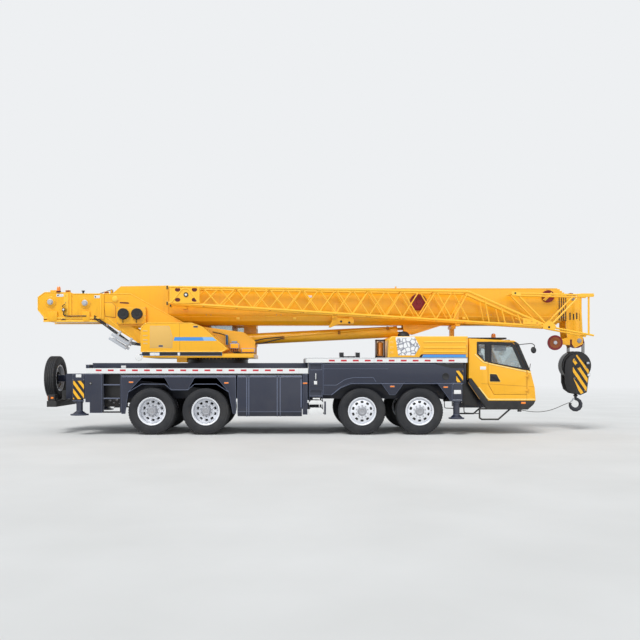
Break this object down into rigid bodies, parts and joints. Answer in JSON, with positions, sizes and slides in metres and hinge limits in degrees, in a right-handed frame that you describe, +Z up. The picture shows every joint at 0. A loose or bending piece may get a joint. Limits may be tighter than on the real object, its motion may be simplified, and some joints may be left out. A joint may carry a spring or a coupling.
{
  "type": "truck crane",
  "caption": "Truck crane on twin-steer carrier with telescopic boom, lattice jib stowed on its side, outriggers, slewing upper works, cabs and a hanging hook block.",
  "frame": {"origin": "on the ground, under the middle of the parked machine's length and width", "axes": "+X forward, towards the carrier's cab; +Y to the left, the side of the operator's cab; +Z up"},
  "size_m": [14.8, 3, 3.88],
  "materials": {
    "carrier_paint": "satin dark blue-grey paint",
    "crane_yellow": "gloss amber-yellow paint",
    "black_plastic": "matt black",
    "window_glass": "tinted",
    "tyre_rubber": "black rubber",
    "bare_steel": "zinc-grey metal",
    "sheave_red": "dark red cast sheaves",
    "wire_rope": "greased wire rope",
    "rod_chrome": "hard chrome",
    "cab_trim": "dark cab trim",
    "lamp_lens": "clear and amber lenses"
  },
  "bodies": {
    "carrier": {"chassis_frame": "carrier_paint", "deck_plates": "carrier_paint", "side_panels": "carrier_paint", "side_boxes": "carrier_paint", "engine_hood": "crane_yellow", "engine_block": "carrier_paint", "cab_shell": "crane_yellow", "cab_glass": "window_glass", "cab_interior": "cab_trim", "bumpers": "black_plastic", "lamps": "lamp_lens", "spare_wheel": "tyre_rubber", "spare_carrier": "carrier_paint", "axles": "carrier_paint", "slew_ring": "carrier_paint", "silencer": "black_plastic", "tie_rope": "wire_rope"},
    "wheel_1_right": {"wheel_1_right": "tyre_rubber"},
    "knuckle_1_right": {"knuckle_1_right": "carrier_paint"},
    "wheel_1_left": {"wheel_1_left": "tyre_rubber"},
    "knuckle_1_left": {"knuckle_1_left": "carrier_paint"},
    "wheel_2_right": {"wheel_2_right": "tyre_rubber"},
    "knuckle_2_right": {"knuckle_2_right": "carrier_paint"},
    "wheel_2_left": {"wheel_2_left": "tyre_rubber"},
    "knuckle_2_left": {"knuckle_2_left": "carrier_paint"},
    "wheel_3_right": {"wheel_3_right": "tyre_rubber"},
    "wheel_3_left": {"wheel_3_left": "tyre_rubber"},
    "wheel_4_right": {"wheel_4_right": "tyre_rubber"},
    "wheel_4_left": {"wheel_4_left": "tyre_rubber"},
    "cab_door_right": {"cab_door_right": "crane_yellow"},
    "cab_door_left": {"cab_door_left": "crane_yellow"},
    "outrigger_beam_rear_right": {"outrigger_beam_rear_right": "carrier_paint"},
    "jack_rear_right": {"jack_rear_right": "bare_steel"},
    "outrigger_beam_rear_left": {"outrigger_beam_rear_left": "carrier_paint"},
    "jack_rear_left": {"jack_rear_left": "bare_steel"},
    "outrigger_beam_front_right": {"outrigger_beam_front_right": "carrier_paint"},
    "jack_front_right": {"jack_front_right": "bare_steel"},
    "outrigger_beam_front_left": {"outrigger_beam_front_left": "carrier_paint"},
    "jack_front_left": {"jack_front_left": "bare_steel"},
    "turntable": {"turntable_frame": "crane_yellow", "winches": "bare_steel", "counterweight": "crane_yellow", "cowl": "crane_yellow", "operator_cab": "crane_yellow", "operator_glass": "window_glass", "hose_reels": "black_plastic", "access_ladder": "bare_steel"},
    "operator_door": {"operator_door": "crane_yellow"},
    "boom_base": {"boom_base": "crane_yellow", "jib": "crane_yellow"},
    "boom_section_2": {"boom_section_2": "crane_yellow"},
    "boom_section_3": {"boom_section_3": "crane_yellow"},
    "boom_section_4": {"boom_section_4": "crane_yellow"},
    "boom_section_5": {"boom_section_5": "crane_yellow", "head_sheaves": "sheave_red"},
    "lift_barrel": {"lift_barrel": "crane_yellow"},
    "lift_rod": {"lift_rod": "rod_chrome"},
    "hook_block": {"hook_block": "black_plastic", "rope_falls": "wire_rope"},
    "hook": {"hook": "black_plastic"}
  },
  "joints": [
    {"name": "steer_1_right", "type": "hinge", "parent": "carrier", "child": "knuckle_1_right", "pos_m": [2.556, -1.01, 0.595], "axis": [0, 0, 1], "range_deg": [-32, 32]},
    {"name": "roll_1_right", "type": "hinge", "parent": "knuckle_1_right", "child": "wheel_1_right", "pos_m": [2.556, -1.195, 0.595], "axis": [0, 1, 0], "continuous": true},
    {"name": "steer_1_left", "type": "hinge", "parent": "carrier", "child": "knuckle_1_left", "pos_m": [2.556, 1.01, 0.595], "axis": [0, 0, 1], "range_deg": [-32, 32]},
    {"name": "roll_1_left", "type": "hinge", "parent": "knuckle_1_left", "child": "wheel_1_left", "pos_m": [2.556, 1.195, 0.595], "axis": [0, 1, 0], "continuous": true},
    {"name": "steer_2_right", "type": "hinge", "parent": "carrier", "child": "knuckle_2_right", "pos_m": [1.102, -1.01, 0.595], "axis": [0, 0, 1], "range_deg": [-24.42, 24.42]},
    {"name": "roll_2_right", "type": "hinge", "parent": "knuckle_2_right", "child": "wheel_2_right", "pos_m": [1.102, -1.195, 0.595], "axis": [0, 1, 0], "continuous": true},
    {"name": "steer_2_left", "type": "hinge", "parent": "carrier", "child": "knuckle_2_left", "pos_m": [1.102, 1.01, 0.595], "axis": [0, 0, 1], "range_deg": [-24.42, 24.42]},
    {"name": "roll_2_left", "type": "hinge", "parent": "knuckle_2_left", "child": "wheel_2_left", "pos_m": [1.102, 1.195, 0.595], "axis": [0, 1, 0], "continuous": true},
    {"name": "roll_3_right", "type": "hinge", "parent": "carrier", "child": "wheel_3_right", "pos_m": [-2.849, -1.195, 0.595], "axis": [0, 1, 0], "continuous": true},
    {"name": "roll_3_left", "type": "hinge", "parent": "carrier", "child": "wheel_3_left", "pos_m": [-2.849, 1.195, 0.595], "axis": [0, 1, 0], "continuous": true},
    {"name": "roll_4_right", "type": "hinge", "parent": "carrier", "child": "wheel_4_right", "pos_m": [-4.214, -1.195, 0.595], "axis": [0, 1, 0], "continuous": true},
    {"name": "roll_4_left", "type": "hinge", "parent": "carrier", "child": "wheel_4_left", "pos_m": [-4.214, 1.195, 0.595], "axis": [0, 1, 0], "continuous": true},
    {"name": "cab_door_right_hinge", "type": "hinge", "parent": "carrier", "child": "cab_door_right", "pos_m": [5.292, -1.295, 1.31], "axis": [0, 0, 1], "range_deg": [0, 70]},
    {"name": "cab_door_left_hinge", "type": "hinge", "parent": "carrier", "child": "cab_door_left", "pos_m": [5.292, 1.295, 1.31], "axis": [0, 0, -1], "range_deg": [0, 70]},
    {"name": "beam_rear_right", "type": "slide", "parent": "carrier", "child": "outrigger_beam_rear_right", "axis": [0, -1, 0], "range_m": [0, 1.9]},
    {"name": "jack_rear_right", "type": "slide", "parent": "outrigger_beam_rear_right", "child": "jack_rear_right", "axis": [0, 0, -1], "range_m": [0, 0.489]},
    {"name": "beam_rear_left", "type": "slide", "parent": "carrier", "child": "outrigger_beam_rear_left", "axis": [0, 1, 0], "range_m": [0, 1.9]},
    {"name": "jack_rear_left", "type": "slide", "parent": "outrigger_beam_rear_left", "child": "jack_rear_left", "axis": [0, 0, -1], "range_m": [0, 0.489]},
    {"name": "beam_front_right", "type": "slide", "parent": "carrier", "child": "outrigger_beam_front_right", "axis": [0, -1, 0], "range_m": [0, 1.9]},
    {"name": "jack_front_right", "type": "slide", "parent": "outrigger_beam_front_right", "child": "jack_front_right", "axis": [0, 0, -1], "range_m": [0, 0.398]},
    {"name": "beam_front_left", "type": "slide", "parent": "carrier", "child": "outrigger_beam_front_left", "axis": [0, 1, 0], "range_m": [0, 1.9]},
    {"name": "jack_front_left", "type": "slide", "parent": "outrigger_beam_front_left", "child": "jack_front_left", "axis": [0, 0, -1], "range_m": [0, 0.398]},
    {"name": "slew", "type": "hinge", "parent": "carrier", "child": "turntable", "pos_m": [-2.67, 0, 1.955], "axis": [0, 0, 1], "continuous": true},
    {"name": "operator_door_slide", "type": "slide", "parent": "turntable", "child": "operator_door", "axis": [-1, 0, 0], "range_m": [0, 0.62]},
    {"name": "luff", "type": "hinge", "parent": "turntable", "child": "boom_base", "pos_m": [-5.35, 0, 3.52], "axis": [0, -1, 0], "range_deg": [0, 80]},
    {"name": "lift_barrel_swing", "type": "hinge", "parent": "turntable", "child": "lift_barrel", "pos_m": [-2.1, 0, 2.46], "axis": [0, -1, 0], "range_deg": [-0.1, 94.33]},
    {"name": "lift_rod_slide", "type": "slide", "parent": "lift_barrel", "child": "lift_rod", "axis": [0.9987, 0, 0.0503], "range_m": [-0.001, 4.1092]},
    {"name": "telescope_2", "type": "slide", "parent": "boom_base", "child": "boom_section_2", "axis": [1, 0, 0], "range_m": [0, 8.7]},
    {"name": "telescope_3", "type": "slide", "parent": "boom_section_2", "child": "boom_section_3", "axis": [1, 0, 0], "range_m": [-0.01, 8.71]},
    {"name": "telescope_4", "type": "slide", "parent": "boom_section_3", "child": "boom_section_4", "axis": [1, 0, 0], "range_m": [-0.01, 8.71]},
    {"name": "telescope_5", "type": "slide", "parent": "boom_section_4", "child": "boom_section_5", "axis": [1, 0, 0], "range_m": [-0.01, 8.71]},
    {"name": "hook_hang", "type": "hinge", "parent": "boom_section_5", "child": "hook_block", "pos_m": [7.015, 0, 2.42], "axis": [0, -1, 0], "range_deg": [-80.1, 0.1]},
    {"name": "hook_swivel", "type": "hinge", "parent": "hook_block", "child": "hook", "pos_m": [7.015, 0, 1], "axis": [0, 0, 1], "continuous": true}
  ],
  "couplings": [
    {"joint": "steer_1_right", "follows": "steer_1_left", "ratio": 1},
    {"joint": "steer_2_right", "follows": "steer_1_left", "ratio": 0.76},
    {"joint": "steer_2_left", "follows": "steer_1_left", "ratio": 0.76},
    {"joint": "lift_barrel_swing", "follows": "luff", "ratio": 1.1779},
    {"joint": "lift_rod_slide", "follows": "luff", "m_per_rad": 2.9423},
    {"joint": "telescope_3", "follows": "telescope_2", "ratio": 1},
    {"joint": "telescope_4", "follows": "telescope_2", "ratio": 1},
    {"joint": "telescope_5", "follows": "telescope_2", "ratio": 1},
    {"joint": "hook_hang", "follows": "luff", "ratio": -1}
  ]
}
